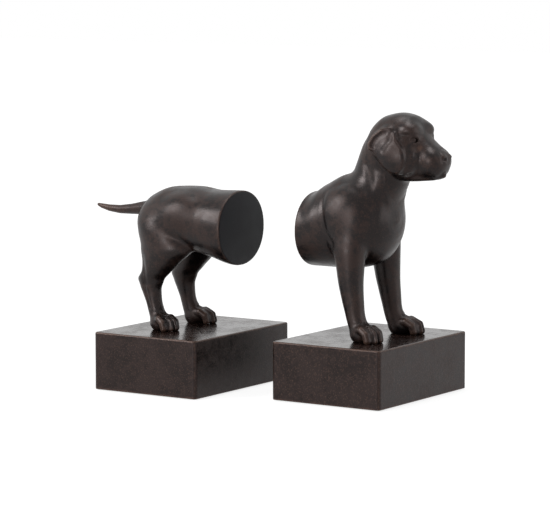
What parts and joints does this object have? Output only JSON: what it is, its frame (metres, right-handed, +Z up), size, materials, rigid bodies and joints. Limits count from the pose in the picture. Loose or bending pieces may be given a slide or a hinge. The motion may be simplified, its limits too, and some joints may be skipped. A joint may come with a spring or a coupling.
{
  "type": "pair of animal bookends",
  "caption": "Pair of dark cast-iron bookends: a standing dog cut in two at the waist, each half on a plain rectangular block, with flat oval faces that hold books.",
  "frame": {"origin": "middle of the underside of the rear bookend's felt, where it rests", "axes": "+X the way the dog faces, from the rear bookend to the front one; +Z up; +Y to the dog's left"},
  "size_m": [0.2334, 0.1255, 0.1682],
  "materials": {
    "patinated_casting": "dark brown antique patina, satin, with warm rubbed spots on the high places",
    "patinated_block": "dark brown antique patina, finely mottled, rubbed on the edges",
    "zinc_steel": "zinc-plated steel fasteners",
    "black_sheet": "black painted sheet steel",
    "felt": "black wool felt"
  },
  "bodies": {
    "rear_bookend": {"rear_figure": "patinated_casting", "rear_block": "patinated_block", "rear_leg_screws": "zinc_steel", "rear_leg_washers": "zinc_steel", "rear_cover": "black_sheet", "rear_cover_screws": "zinc_steel", "rear_felt": "felt"},
    "front_bookend": {"front_figure": "patinated_casting", "front_block": "patinated_block", "front_leg_screws": "zinc_steel", "front_leg_washers": "zinc_steel", "front_cover": "black_sheet", "front_cover_screws": "zinc_steel", "front_felt": "felt"}
  },
  "joints": [
    {"name": "front_bookend_slide", "type": "slide", "parent": "rear_bookend", "child": "front_bookend", "axis": [1, 0, 0], "range_m": [-0.036, 0.264]}
  ]
}
